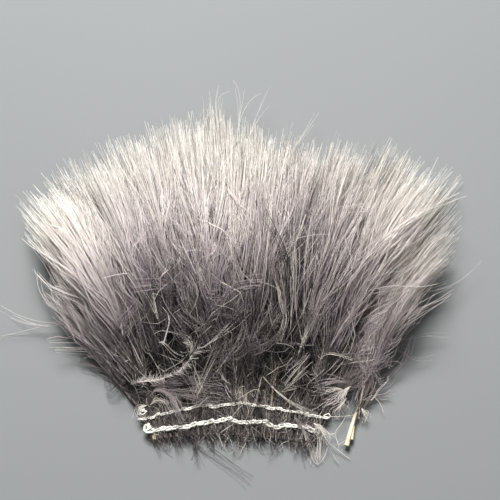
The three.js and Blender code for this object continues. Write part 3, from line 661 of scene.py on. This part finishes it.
def chain_tree():
    """Sews a row: a link over each quill, a leg between quills, a strand under them, and the loose ends."""
    tree = GrowthTree("cotton_chain")
    for name in ("Link length", "Link width", "Thread radius", "Depth"):
        tree.inlet(name, "NodeSocketFloat", MM)
    tree.inlet("Seed", "NodeSocketInt", 3)
    tree.inlet("Cotton", "NodeSocketMaterial")
    ends, row = tree.part(tree.begin(), "loose_end")
    radius = tree.given("Thread radius")
    curve = tree.curve(row)
    tangent = tree.add("GeometryNodeInputTangent")
    axes = {"primary_axis": "X", "secondary_axis": "Z"}
    facing = tree.add("FunctionNodeAxesToRotation", axes, {0: tangent, 1: (0, 0, 1)})
    tilts = tree.scatter((-0.3, -0.1, -0.2), (0.3, 0.1, 0.2))
    tilt = tree.add("FunctionNodeEulerToRotation", values={0: tilts})
    turned = tree.add("FunctionNodeRotateRotation", {"rotation_space": "LOCAL"}, {0: facing, 1: tilt})
    placed = {
        "Points": curve,
        "Instance": tree.sweep(link_loop(tree), 7, radius),
        "Rotation": turned,
        "Scale": tree.scatter((0.92, 0.8, 0.9), (1.15, 1.2, 1.1)),
    }
    links = tree.add("GeometryNodeInstanceOnPoints", values=placed)
    down = tree.vector(z=tree.given("Depth") * -1.0)
    line = tree.add("GeometryNodeCurvePrimitiveLine", {"mode": "POINTS"}, {"Start": (0, 0, 0), "End": down})
    leg = tree.sweep(line, 6, radius * 0.62)
    gaps = tree.add("GeometryNodeMeshToPoints", {"mode": "EDGES"}, {"Mesh": row})
    legs = tree.add("GeometryNodeInstanceOnPoints", values={"Points": gaps, "Instance": leg})
    under = tree.sweep(tree.move(curve, offset=down), 6, radius * 0.9)
    measured = tree.store(tree.curve(ends), "length", tree.along("Length"))
    loose = tree.sweep(measured, 6, radius * tree.attribute("loose_end"))
    dressed = [tree.dress(tree.realize(part), tree.given("Cotton")) for part in (links, legs, under, loose)]
    tree.end(tree.realize(tree.join(*dressed)))
    return tree


def grow(name, mesh, tree, values):
    """Runs a node tree on a mesh of paths and returns its result as a plain mesh."""
    holder = bpy.data.objects.new(name, mesh)
    bpy.context.scene.collection.objects.link(holder)
    modifier = holder.modifiers.new(tree.tree.name, "NODES")
    modifier.node_group = tree.tree
    for key, value in values.items():
        modifier[tree.inlets[key]] = value
    evaluated = holder.evaluated_get(bpy.context.evaluated_depsgraph_get())
    made = bpy.data.meshes.new_from_object(evaluated)
    bpy.data.objects.remove(holder)
    bpy.data.meshes.remove(mesh)
    if not made.polygons:
        raise RuntimeError(f"{name} grew nothing")
    made.name = name
    return made


def settle(name, mesh, node):
    """Makes a finished piece of a mesh: it rides the string and stands for its solid."""
    piece = bpy.data.objects.new(name, mesh)
    bpy.context.scene.collection.objects.link(piece)
    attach(piece, "root")
    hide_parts(node)


class Finish(Nodes):
    """A material under construction."""

    def __init__(self, name):
        self.material = bpy.data.materials.new(name)
        self.material.use_nodes = True
        super().__init__(self.material.node_tree)
        self.tree.nodes.clear()

    def mix(self, share, first, second, blend="MIX"):
        settings = {"data_type": "RGBA", "blend_type": blend, "clamp_result": True}
        values = {"Factor_Float": share, "A_Color": first, "B_Color": second}
        made = self.node("ShaderNodeMix", settings, values)
        return next(socket for socket in made.outputs if socket.identifier == "Result_Color")

    def surface(self, values):
        shader = self.add("ShaderNodeBsdfPrincipled", None, values)
        self.node("ShaderNodeOutputMaterial", None, {"Surface": shader})
        return self.material


def bake_axes(finish):
    """Tint and height of a strand, from its map."""
    place = finish.add("ShaderNodeUVMap", {"uv_map": BAKE_MAP})
    parts = finish.node("ShaderNodeSeparateXYZ", None, {0: place}).outputs
    return Value(finish, parts[0]), Value(finish, parts[1])


def down_finish(dye):
    """Dyed barbs: dark at the quill, lavender grey in the middle, warm white at the tips, where part of the
    white is painted light from above.
    """
    finish = Finish("marabou_down")
    tint, height = bake_axes(finish)
    stops = ((0.02, dye.root), (0.33, dye.low), (0.5, dye.middle), (0.66, dye.high), (0.92, dye.tip))
    dyed = finish.add("ShaderNodeValToRGB", {"stops": stops}, {0: height})
    ends = {"Value": height, "From Min": 0.34, "From Max": 0.62}
    upper = finish.add("ShaderNodeMapRange", {"interpolation_type": "SMOOTHSTEP"}, ends)
    low = tint * 2.2 - 0.14
    shade = low + (tint * 0.95 + 0.3 - low) * upper
    grey = finish.add("ShaderNodeCombineXYZ", None, {0: shade, 1: shade, 2: shade})
    toned = finish.mix(1.0, dyed, grey, "MULTIPLY")
    undyed = finish.mix((tint > 0.85) * 0.65, toned, (*dye.undyed, 1))
    warmth = (tint * 37).sine() * 0.1 + 0.1
    warm = finish.mix(warmth * shade, undyed, WARM_WHITE)
    rough = 0.62 - height * 0.14
    return finish.surface(
        {"Base Color": warm, "Roughness": rough, "Specular IOR Level": 0.14, "Sheen Weight": 0.04}
    )


def horn_finish(dye):
    """Quill: ivory to brown horn with fine streaks, greyer up the shaft where the dye took."""
    finish = Finish("quill_horn")
    tint, height = bake_axes(finish)
    tan = finish.mix(tint * 10, (*dye.quill, 1), (*dye.amber, 1))
    stops = ((0.05, (0, 0, 0)), (0.2, (1, 1, 1)))
    dyed = finish.add("ShaderNodeValToRGB", {"stops": stops}, {0: height})
    coloured = finish.mix(dyed, tan, (*dye.root, 1))
    streaks = ((tint * 900 + height * 40).sine() * 0.5 + 0.5) * 0.18
    streaked = finish.mix(streaks, coloured, HORN_STREAK)
    return finish.surface({"Base Color": streaked, "Roughness": 0.32 + streaks * 0.5, "Coat Weight": 0.1})


def cotton_finish(stitch):
    """Cream cotton: two plies that wind round the thread, with painted shade along the plies, a little grey
    from the dye.
    """
    finish = Finish("cotton_thread")
    length = finish.add("ShaderNodeAttribute", {"attribute_name": "length"}, output="Fac")
    turn = finish.add("ShaderNodeAttribute", {"attribute_name": "round"}, output="Fac")
    ply = (length * (2 * math.pi / (0.9 * MM)) + turn * (4 * math.pi)).sine() * 0.5 + 0.5
    place = finish.add("ShaderNodeTexCoord", output="Object")
    grime = finish.add("ShaderNodeTexNoise", None, {"Vector": place, "Scale": 420.0, "Detail": 3.0})
    # the plies darken the cotton as painted shade
    cream = finish.mix(ply * 0.12, (*stitch.cotton, 1), PAINTED_PLY_SHADE)
    worn = finish.mix(grime * 0.1, cream, GRIME)
    bump = finish.add("ShaderNodeBump", None, {"Strength": 0.6, "Distance": 0.1 * MM, "Height": ply})
    return finish.surface({"Base Color": worn, "Roughness": 0.85, "Sheen Weight": 0.3, "Normal": bump})


def floor_finish(stage):
    """Pale matt table with a faint mottle."""
    finish = Finish("pale_table")
    place = finish.add("ShaderNodeTexCoord", output="Object")
    mottle = finish.add("ShaderNodeTexNoise", None, {"Vector": place, "Scale": 9.0})
    darker = tuple(v * 0.94 for v in stage.floor)
    colour = finish.mix(mottle, (*stage.floor, 1), (*darker, 1))
    return finish.surface({"Base Color": colour, "Roughness": 0.8})


def wave(rng, points, step, group, size, turns):
    """Swings strands in waves that grow towards their tips; strands of one group swing alike."""
    groups = group.max() + 1
    first, second = np.clip(rng.normal(size=(2, groups, 1, 3)), -2, 2) * (1, 0.8, 0.6)
    phase = rng.uniform(0, 2 * np.pi, (groups, 1))
    pace = rng.uniform(*turns, (groups, 1))
    amount = 0.5 * size * np.minimum(rng.gamma(2, 0.5, (groups, 1, 1)), 2.2) * step[..., None]
    turn = phase + 2 * np.pi * pace * step
    swing = (np.sin(turn) - np.sin(phase))[..., None] * first
    swing = swing + (np.cos(turn) - np.cos(phase))[..., None] * second
    return points + (amount * swing)[group]


class Locks:
    """Locks of strands on one plume. The strands of a lock keep together and close up towards its tip."""

    def __init__(self, plume, rng, strands, root, tip, side, share, tint=0.48, relief=0.0, uneven=0.2):
        """Relief is how far tufts raise a lock, uneven how much the tints of locks differ."""
        self.plume = plume
        self.rng = rng
        self.group = np.repeat(np.arange(len(root)), strands)
        count = len(self.group)
        tufts = self.tufts((root + tip) / 2, side)
        share = share + relief * tufts
        # Strands lower in the bunch and in sunken tufts get a darker tone as painted shade, strands in raised
        # tufts a lighter tone as painted light.
        tone = rng.normal(tint, uneven, len(root)) + 0.45 * (share - 0.7) + 0.2 * tufts
        tone = tone[self.group] + rng.normal(0, 0.08, count)
        self.bright = (rng.random(len(root)) < 0.05 / strands)[self.group] | (rng.random(count) < 0.05)
        self.tone = np.where(self.bright, rng.uniform(0.86, 0.98, count), np.clip(tone, 0.1, 0.84))[:, None]
        self.root = root[self.group] + rng.normal(0, 1.2, count)
        self.tip = np.maximum(tip[self.group] + rng.normal(0, 1.5, count), self.root + 3)
        held = plume.at_end * (side * plume.lean > 0)
        spread = np.where(held, 0.6 * smooth(18, 48, tip), 0.3 + 0.7 * smooth(4, 42, root))
        self.side = (side * spread)[self.group]
        self.share = share[self.group]

    def tufts(self, run, side):
        """Raised and sunken places of the bunch: small ones drawn out along the plumes, and the patches.
        Their strands also get painted light and painted shade in their tone.
        """
        x, y, _ = self.plume.centre(run)
        x = x + side
        small = np.sin(x / 1.9 + 1.6 * np.sin(y / 8)) * np.sin(y / 4.5 + 1.4 * np.sin(x / 4.1))
        near = 0
        for middle_x, middle_y, wide, long, change in PATCHES:
            near = near + change * np.exp(-(((x - middle_x) / wide) ** 2) - ((y - middle_y) / long) ** 2)
        return small + near

    def paths(self, bend, steps, loose, gather):
        """Points of the strands: they leave the shaft sideways and swing round towards the tip."""
        step = np.linspace(0, 1, steps)[None, :]
        out = 1 - (1 - step) ** bend
        apart = loose * (1 - gather * step)
        count = len(self.group)
        self.run = self.root[:, None] + (self.tip - self.root)[:, None] * step
        side = self.side[:, None] * out + self.rng.normal(size=(count, 1)) * apart
        rise = (self.share - self.plume.share)[:, None] * out
        rise = rise + self.rng.normal(size=(count, 1)) * apart * 0.03
        self.step = step
        return self.plume.place(self.run, side, self.plume.share + rise)

    def waves(self, points, lock_size, lock_turns, size, turns):
        """Waves that a lock shares, smaller at the ends of the string, then each strand's own."""
        calm = END_CALM if self.plume.near_end else 1
        points = wave(self.rng, points, self.step, self.group, calm * lock_size, lock_turns)
        return wave(self.rng, points, self.step, np.arange(len(points)), size, turns)

    def thickness(self, radius, taper):
        thick = self.rng.uniform(0.7, 1.15, len(self.group)) * (1 + 0.3 * self.bright)
        return radius / MM * thick[:, None] * (1 - taper * self.step)

    def height(self, lift):
        """Where strands are in the plume, with their own ends taken as a little higher."""
        own = self.plume.pale + self.rng.normal(0, 0.03, (len(self.group), 1))
        return np.clip(self.run / self.plume.dyed_length + lift * (self.step - 0.4) + own, 0, 1)


def upper_barbs(plume, barbs, rng, paths):
    """Long straight barbs that make the pale brush at the end of a plume."""
    strands = 3
    count = int(barbs.upper / strands * plume.length / FULL_LENGTH * (0.8 if plume.layer == 0 else 1))
    across = rng.uniform(-1, 1, count)
    tip = plume.length * (0.98 - 0.24 * rng.random(count) ** 2.2 - 0.15 * across**2)
    root = np.minimum(plume.length * rng.uniform(0.28, 0.66, count), tip - 0.2 * plume.length)
    share = plume.share + plume.mingled * rng.uniform(-1, 2 if plume.layer == 0 else 1, count)
    side = across * barbs.half_width / MM
    locks = Locks(plume, rng, strands, root, tip, side, share, tint=0.54, relief=0.05, uneven=0.3)
    points = locks.paths(bend=1.7, steps=5, loose=0.6, gather=0.6)
    points = locks.waves(points, lock_size=1.7, lock_turns=(0.2, 0.6), size=0.6, turns=(0.3, 0.9))
    paths.add(points, locks.thickness(barbs.upper_radius, taper=0.62), locks.tone, locks.height(lift=0))


def middle_barbs(plume, barbs, rng, paths):
    """Waving barbs of the plume's middle, in locks that cross each other."""
    strands = 7
    count = int(barbs.middle / strands * plume.length / FULL_LENGTH)
    side = rng.choice((-1, 1), count) * rng.uniform(0.1, 1.1, count) * barbs.half_width / MM
    root = plume.length * rng.uniform(0.1, 0.46, count)
    tip = root + rng.uniform(18, 40, count) * min(1, plume.length / 90)
    share = np.clip(plume.share + rng.normal(0.03, 0.16, count), 0.02, 1.02)
    locks = Locks(plume, rng, strands, root, tip, side, share, tint=0.36, relief=0.14, uneven=0.24)
    points = locks.paths(bend=1.6, steps=6, loose=0.85, gather=0.45)
    points = locks.waves(points, lock_size=5.6, lock_turns=(0.35, 0.85), size=0.6, turns=(0.4, 1.2))
    paths.add(points, locks.thickness(barbs.middle_radius, taper=0.7), locks.tone, locks.height(lift=0.14))


def flowing_barbs(plume, barbs, rng, paths):
    """Long pale barbs in wavy locks, lying over the middle of the plume."""
    strands = 4
    count = int(barbs.flowing / strands * plume.length / FULL_LENGTH)
    side = rng.uniform(-0.9, 0.9, count) * barbs.half_width / MM
    root = plume.length * rng.uniform(0.07, 0.42, count)
    tip = root + rng.uniform(24, 52, count) * min(1, plume.length / 100)
    share = np.clip(plume.share + rng.normal(0.16, 0.12, count), 0.2, 1.04)
    locks = Locks(plume, rng, strands, root, tip, side, share, tint=0.55, relief=0.12, uneven=0.22)
    points = locks.paths(bend=1.5, steps=8, loose=0.9, gather=0.5)
    points = locks.waves(points, lock_size=6.5, lock_turns=(0.4, 1.1), size=1.0, turns=(0.5, 1.5))
    paths.add(points, locks.thickness(barbs.flowing_radius, taper=0.6), locks.tone, locks.height(lift=0.12))


def flank_barbs(plume, barbs, rng, paths):
    """Fine pale barbs that close the flanks of the bunch, on its outermost plumes."""
    if not plume.at_end:
        return
    strands = 4
    count = barbs.flank // strands
    side = np.sign(plume.lean) * rng.uniform(-0.6, 1, count) * barbs.half_width / MM
    root = plume.length * rng.uniform(0.16, 0.58, count)
    tip = np.minimum(root + rng.uniform(18, 42, count), plume.length * rng.uniform(0.78, 1, count))
    share = np.clip(plume.share + rng.normal(0.18, 0.2, count), 0.1, 1.0)
    locks = Locks(plume, rng, strands, root, tip, side, share, tint=0.66, relief=0.05, uneven=0.14)
    points = locks.paths(bend=1.5, steps=6, loose=1.2, gather=0.5)
    points = locks.waves(points, lock_size=2.2, lock_turns=(0.2, 0.6), size=0.7, turns=(0.3, 1.0))
    paths.add(points, locks.thickness(barbs.upper_radius, taper=0.6), locks.tone, locks.height(lift=0.1))


def curling_down(plume, barbs, rng, paths):
    """Soft curling down above the stitches."""
    strands = 8
    count = int(barbs.down / strands * (0.45 + 0.55 * plume.length / FULL_LENGTH))
    lowest = 13 if plume.bare else 6.5
    side = rng.choice((-1, 1), count) * rng.uniform(0.05, 1, count) * barbs.half_width / MM
    root = rng.uniform(lowest, max(28, 0.34 * plume.length), count)
    tip = root + rng.uniform(6, 22, count)
    share = np.clip(plume.share + rng.normal(0.1, 0.25, count), 0.02, 1.15)
    locks = Locks(plume, rng, strands, root, tip, side, share, tint=0.36, relief=0.14, uneven=0.24)
    points = locks.paths(bend=1.5, steps=8, loose=0.95, gather=0.3)
    points = locks.waves(points, lock_size=7.8, lock_turns=(0.5, 1.1), size=1.1, turns=(0.5, 1.6))
    paths.add(points, locks.thickness(barbs.down_radius, taper=0.6), locks.tone, locks.height(lift=0.2))


def crossing_barbs(plume, barbs, rng, paths):
    """Single fluffy barbs that lie across the others at the top of the bunch."""
    count = int(barbs.crossing * plume.length / FULL_LENGTH)
    root = rng.uniform(6, 0.5 * plume.length, count)
    tip = root + rng.uniform(8, 30, count)
    side = np.clip(rng.normal(0, 10, count), -18, 18) * min(1, plume.length / 100)
    locks = Locks(plume, rng, 1, root, tip, side, rng.uniform(0.8, 1.08, count))
    points = locks.paths(bend=1.3, steps=9, loose=1, gather=0)
    points = locks.waves(points, lock_size=4.4, lock_turns=(0.3, 0.8), size=1.2, turns=(0.4, 1.1))
    tone = rng.uniform(0.6, 0.98, (count, 1))
    thick = locks.thickness(barbs.upper_radius * 1.3, taper=0.6)
    paths.add(points, thick, tone, locks.height(lift=0.2) + 0.06)


def hanging_fuzz(plume, barbs, rng, paths):
    """Fibres that hang from the stitches over the cut butts."""
    strands = 2
    count = int(barbs.hanging / strands * (1 + 0.8 * math.sin(2.1 * plume.index)))
    root = rng.uniform(-2.5, 2, count)
    share = plume.share + rng.normal(-0.03, 0.06, count)
    locks = Locks(plume, rng, strands, root, root, rng.normal(0, 1.8, count), share)
    locks.tip = locks.root - np.minimum(rng.gamma(2.5, 1.2, len(locks.root)), 8)
    points = locks.paths(bend=1.3, steps=5, loose=0.6, gather=0.2)
    points = locks.waves(points, lock_size=1.6, lock_turns=(0.3, 1.2), size=1.0, turns=(0.5, 1.6))
    height = np.clip(0.5 * rng.random((len(points), 1)) ** 3 + 0.1 * locks.step, 0, 1)
    paths.add(points, locks.thickness(barbs.down_radius, taper=0.5), locks.tone, height)


def row_fuzz(plume, barbs, rng, paths):
    """Short down round the sewn part of a quill, some of it hanging below the stitches."""
    strands = 3
    count = barbs.fuzz // strands
    root = rng.uniform(6 if plume.stray else -plume.butt, 10, count)
    tip = root + rng.normal(3, 5, count)
    share = plume.share + rng.normal(0.04, 0.06, count) - 0.14 * (root > 5) * plume.bare
    locks = Locks(plume, rng, strands, root, tip, rng.normal(0, 3.5, count), share)
    points = locks.paths(bend=1.4, steps=5, loose=0.6, gather=0.3)
    points = locks.waves(points, lock_size=2.2, lock_turns=(0.4, 1.2), size=1.0, turns=(0.5, 1.6))
    height = np.clip(rng.uniform(0, 0.28, (len(points), 1)) + 0.1 * locks.step, 0, 1)
    paths.add(points, locks.thickness(barbs.down_radius * 0.8, taper=0.6), locks.tone, height)


def shaft(plume, rng, paths):
    """The quill from its cut butt up into the down, tapering all the way; the loose one is slit."""
    run = np.concatenate((np.linspace(-plume.butt, 10, 9), np.linspace(13, 0.6 * plume.length, 8)))[None, :]
    points = plume.place(run, 0 * run, plume.share + 0 * run)
    taper = 1 - smooth(-plume.butt, 0.4 * plume.length, run)
    thick = plume.radius * (0.14 + 0.86 * taper)
    slit = 0.6 * plume.radius * (1 - smooth(4, 10, run)) * plume.stray
    tone = 0.002 if plume.stray else 0.03 + 0.03 * rng.random()
    clean = plume.bare * (smooth(4, 6, run) if 0 < plume.index < plume.string.sewn else 1)
    dyed = np.maximum(run / plume.length, 0) + 0.3 * (1 - clean)
    paths.add(points, thick, tone, np.clip(dyed, 0, 1), horn=1.0, slit=slit)
    if plume.stray:
        splinter = np.linspace(4, -2, 6)[None, :]
        points = plume.place(splinter, 0.3 + 0.12 * (4 - splinter), plume.share + 0 * splinter)
        paths.add(points, np.linspace(0.3, 0.5, 6)[None, :], 0.001, 0.0, horn=1.0)


def rounded(points, steps):
    """A smooth line of so many points through a few given ones."""
    points = np.array(points, float)
    padded = np.vstack((2 * points[0] - points[1], points, 2 * points[-1] - points[-2]))
    place = np.linspace(0, len(points) - 1 - 1e-9, steps)
    first = place.astype(int)
    t = (place - first)[:, None]
    a, b, c, d = (padded[first + k] for k in range(4))
    return 0.5 * (2 * b + (c - a) * t + (2 * a - 5 * b + 4 * c - d) * t**2 + (3 * b - 3 * c + d - a) * t**3)


def loose_strands(plume, rng, paths):
    """Single strands that stand out, and the broken barb near the left end."""
    steps = 10
    step = np.linspace(0, 1, steps)[None, :]
    for owner, strands, part, thick, tint, high, points in LOOSE:
        if owner != plume.index:
            continue
        spread = 0.25 * part * rng.normal(size=(strands, 1, 3)) * step[..., None]
        lines = plume.origin + rounded(points, steps) + spread
        lines = wave(rng, lines, step, np.arange(strands), 0.25 * part, (0.4, 1.4))
        tone = np.clip(tint + rng.normal(0, 0.06, (strands, 1)), 0.12, 0.98)
        slim = (1 - 0.6 * step) * np.minimum(0.35 + 3 * step, 1)
        paths.add(lines, thick * slim, tone, np.clip(high + 0.4 * (step - 0.5), 0, 1))
    if plume.index == BROKEN_BARB:
        cross_shaft(plume, rng, paths)


def cross_shaft(plume, rng, paths):
    """The broken barb, with the short barbs that stand off it."""
    knots, barbs = 24, 260
    line = plume.origin + rounded(CROSS_SHAFT, knots)
    paths.add(line[None], np.linspace(0.17, 0.07, knots)[None], 0.9, 0.7)
    root = line[rng.integers(0, knots, barbs)]
    tip = rng.normal(0, 1.1, (barbs, 3)) + (1.4, 0.8, 0.4)
    step = np.linspace(0, 1, 4)[None, :]
    lines = root[:, None, :] + step[..., None] * tip[:, None, :]
    lines = wave(rng, lines, step, np.arange(barbs), 0.6, (0.3, 1))
    paths.add(lines, 0.08 * (1 - 0.5 * step), rng.uniform(0.5, 0.98, (barbs, 1)), 0.6)


CLOTHING = (
    upper_barbs,
    middle_barbs,
    curling_down,
    flowing_barbs,
    flank_barbs,
    crossing_barbs,
    row_fuzz,
    hanging_fuzz,
)


class MARABOU_OT_plumes(bpy.types.Operator):
    """Grow shaft, barbs and down of every plume"""

    bl_idname = "marabou.plumes"
    bl_label = "Grow plumes"

    def execute(self, context):
        string = context.scene.marabou_string
        barbs = context.scene.marabou_barbs
        dye = context.scene.marabou_dye
        tree = feather_tree()
        finishes = {"Down": down_finish(dye), "Horn": horn_finish(dye)}
        for index in range(string.sewn + 1):
            plume = Plume(index, string)
            rng = np.random.default_rng((barbs.seed, index))
            paths = Paths(string)
            shaft(plume, rng, paths)
            for clothe in CLOTHING:
                clothe(plume, barbs, rng, paths)
            loose_strands(plume, rng, paths)
            name = plume.name.replace("plume", "feather")
            settle(name, grow(name, paths.mesh(name), tree, finishes), plume.name)
        return {"FINISHED"}


# Loose ends of thread: row, thickness, then points from the middle of the lower row.
ENDS = (
    ("upper", 0.9, ((-29, 6.2, 3.4), (-30.6, 7, 4), (-31.4, 5.8, 3.6), (-30.2, 5.2, 4), (-29.2, 6.6, 3.4))),
    ("upper", 0.9, ((30.5, 4.8, 3.4), (32.1, 5.4, 4.2), (32.7, 4.4, 4), (31.5, 3.8, 3.4), (30.3, 4.4, 3.2))),
    ("upper", 0.6, ((30.5, 4.8, 2.8), (34.5, 5, 1.6), (39.9, 5.4, 1.4), (43.1, 6.6, 0.8))),
    ("lower", 0.9, ((-27.9, 0.8, 3.4), (-29.5, 1.8, 3.4), (-29.9, 0.4, 3), (-28.5, 0, 3.7), (-27.5, 1.4, 4))),
    ("lower", 0.9, ((28.1, -0.6, 3.2), (29.7, -0.8, 3), (30.7, -0.2, 2.4), (31.3, -1.4, 1.8))),
)
# Tangled ends of thread: row and middle, from the middle of the lower row.
TANGLES = (("upper", (-30.4, 6.4, 3.6)), ("lower", (-28.8, 0.9, 3.4)))
LINT = 150  # fibres that stand off a row
# How far a row strays towards the tips, in millimetres, at places along the string from -1 to 1.
SWAY = {
    "upper": (
        (-1, -1.9), (-0.9, -2.2), (-0.75, -1.6), (-0.5, -0.7), (-0.27, 0.3),
        (-0.2, -0.2), (0.08, 1.9), (0.27, 0.7), (0.5, 0.1), (1, 0.3),
    ),
    "lower": (
        (-1, 0), (-0.82, -0.3), (-0.62, -1.5), (-0.42, -0.9), (-0.04, 0.7),
        (0.17, 0), (0.37, 1.5), (0.49, -0.2), (0.7, 1.2), (1, 1.2),
    ),
}


def tangle(middle, rng):
    """A small loose knot."""
    return middle + rng.uniform(-1, 1, (9, 3)) * (1.5, 1.2, 0.6)


def lint(points, rng):
    """Short fibres of cotton that stand off a row."""
    place = rng.uniform(0, len(points) - 1, LINT)
    first = place.astype(int)
    root = points[first] + (place - first)[:, None] * (points[first + 1] - points[first])
    course = rng.normal(0, 1, (LINT, 3)) * (0.9, 0.9, 0.5)
    bend = rng.normal(0, 0.5, (LINT, 3)) * (1, 1, 0.5)
    t = np.array((-0.5, 0, 0.5, 1))[:, None]
    return root[:, None] + t * course[:, None] + t * t * bend[:, None]


def row_mesh(name, points, origin, rng):
    """Paths of one row of stitches, its loose ends and its lint."""
    swing = np.convolve(rng.normal(0, 0.8, len(points) + 4), np.ones(5) / 5, "valid")
    swing = swing + np.interp(np.linspace(-1, 1, len(points)), *zip(*SWAY[name]))
    points = points + rng.normal(0, 0.14, points.shape) + swing[:, None] * (0, 1, 0)
    lines = [(points, 0.0)]
    lines += [(origin + rounded(end, 20), thick) for row, thick, end in ENDS if row == name]
    lines += [(origin + rounded(tangle(middle, rng), 40), 0.8) for row, middle in TANGLES if row == name]
    lines += [(fibre, 0.14) for fibre in lint(points, rng)]
    places, edges, loose = [], [], []
    for line, thick in lines:
        edges += [(len(places) + k, len(places) + k + 1) for k in range(len(line) - 1)]
        places += list(line)
        loose += [thick] * len(line)
    mesh = bpy.data.meshes.new(name)
    mesh.from_pydata(np.array(places) * MM, edges, [])
    mesh.attributes.new("loose_end", "FLOAT", "POINT").data.foreach_set("value", loose)
    return mesh


class MARABOU_OT_stitches(bpy.types.Operator):
    """Sew the two rows of chain stitch"""

    bl_idname = "marabou.stitches"
    bl_label = "Sew stitches"

    def execute(self, context):
        string = context.scene.marabou_string
        stitch = context.scene.marabou_stitch
        tree = chain_tree()
        cotton = cotton_finish(stitch)
        plumes = [Plume(index, string) for index in range(string.sewn)]
        rows = (("upper", string.row_step / MM, 0.64, 5), ("lower", 0.0, 1.0, 8))  # the upper thread is finer
        for name, run, size, seed in rows:
            rng = np.random.default_rng(seed)
            points = np.array([plume.place(np.array(run), 0.0, plume.share) for plume in plumes])
            lift = string.quill_radius + 1.6 * stitch.radius
            points[:, 2] += lift / MM
            values = {
                "Link length": stitch.length,
                "Link width": stitch.width * size,
                "Thread radius": stitch.radius * size,
                "Depth": 2 * lift - 0.4 * MM,
                "Seed": seed,
                "Cotton": cotton,
            }
            piece = f"stitches_{name}"
            paths = row_mesh(name, points, plumes[0].origin, rng)
            settle(piece, grow(piece, paths, tree, values), f"thread_{name}")
        return {"FINISHED"}


TABLE_REACH = 3.0
SENSOR_WIDTH = 36
SKY = (0.9, 0.95, 1.0, 1)
SKY_STRENGTH = 0.08
# Lights: name, place, width and power.
LIGHTS = (("window", (-0.08, 0.5, 0.75), 0.45, 18), ("fill", (0.3, -0.4, 0.75), 0.7, 0.9))


def soft_light(name, place, size, power):
    """A round soft light that looks at the bunch."""
    lamp = bpy.data.lights.new(name, "AREA")
    lamp.shape = "DISK"
    lamp.size = size
    lamp.energy = power
    made = bpy.data.objects.new(name, lamp)
    made.location = place
    made.rotation_euler = (-Vector(place)).to_track_quat("-Z", "Y").to_euler()
    bpy.context.scene.collection.objects.link(made)


class MARABOU_OT_stage(bpy.types.Operator):
    """Set the floor, the lights and the camera"""

    bl_idname = "marabou.stage"
    bl_label = "Set stage"

    def execute(self, context):
        stage = context.scene.marabou_stage
        mesh = bpy.data.meshes.new("table_top")
        turns = ((-1, -1), (1, -1), (1, 1), (-1, 1))
        mesh.from_pydata([(x * TABLE_REACH, y * TABLE_REACH, 0) for x, y in turns], [], [(0, 1, 2, 3)])
        mesh.materials.append(floor_finish(stage))
        table = bpy.data.objects.new("table_top", mesh)
        context.scene.collection.objects.link(table)
        for light in LIGHTS:
            soft_light(*light)
        world = bpy.data.worlds.new("studio")
        world.use_nodes = True
        sky = world.node_tree.nodes["Background"].inputs
        sky["Color"].default_value = SKY
        sky["Strength"].default_value = SKY_STRENGTH
        context.scene.world = world
        context.scene.view_settings.view_transform = "Standard"
        lens = bpy.data.cameras.new("camera")
        lens.sensor_width = SENSOR_WIDTH
        lens.sensor_fit = "HORIZONTAL"
        lens.lens = SENSOR_WIDTH * stage.distance / stage.frame_width
        lens.clip_start = 0.01
        camera = bpy.data.objects.new("camera", lens)
        aim = Vector((stage.aim_x, stage.aim_y, stage.aim_z))
        away = Vector((0, -math.cos(stage.elevation), math.sin(stage.elevation)))
        camera.location = aim + away * stage.distance
        camera.rotation_euler = (-away).to_track_quat("-Z", "Y").to_euler()
        context.scene.collection.objects.link(camera)
        context.scene.camera = camera
        return {"FINISHED"}


class MARABOU_PT_panel(bpy.types.Panel):
    """The steps that dress the string"""

    bl_idname = "MARABOU_PT_panel"
    bl_label = "Strung marabou"
    bl_space_type = "VIEW_3D"
    bl_region_type = "UI"
    bl_category = "Marabou"

    def draw(self, context):
        for name, group in SETTINGS.items():
            box = self.layout.box()
            for key in group.__annotations__:
                box.prop(getattr(context.scene, name), key)
        for operator in (MARABOU_OT_plumes, MARABOU_OT_stitches, MARABOU_OT_stage):
            self.layout.operator(operator.bl_idname)


SETTINGS = {
    "marabou_string": StringSettings,
    "marabou_barbs": BarbSettings,
    "marabou_stitch": StitchSettings,
    "marabou_dye": DyeSettings,
    "marabou_stage": StageSettings,
}
CLASSES = (*SETTINGS.values(), MARABOU_OT_plumes, MARABOU_OT_stitches, MARABOU_OT_stage, MARABOU_PT_panel)


def register():
    for made in CLASSES:
        bpy.utils.register_class(made)
    for name, group in SETTINGS.items():
        setattr(bpy.types.Scene, name, bpy.props.PointerProperty(type=group))


def unregister():
    for name in SETTINGS:
        delattr(bpy.types.Scene, name)
    for made in reversed(CLASSES):
        bpy.utils.unregister_class(made)


def main():
    register()
    bpy.ops.marabou.plumes()
    bpy.ops.marabou.stitches()
    bpy.ops.marabou.stage()


if __name__ == "__main__":
    main()
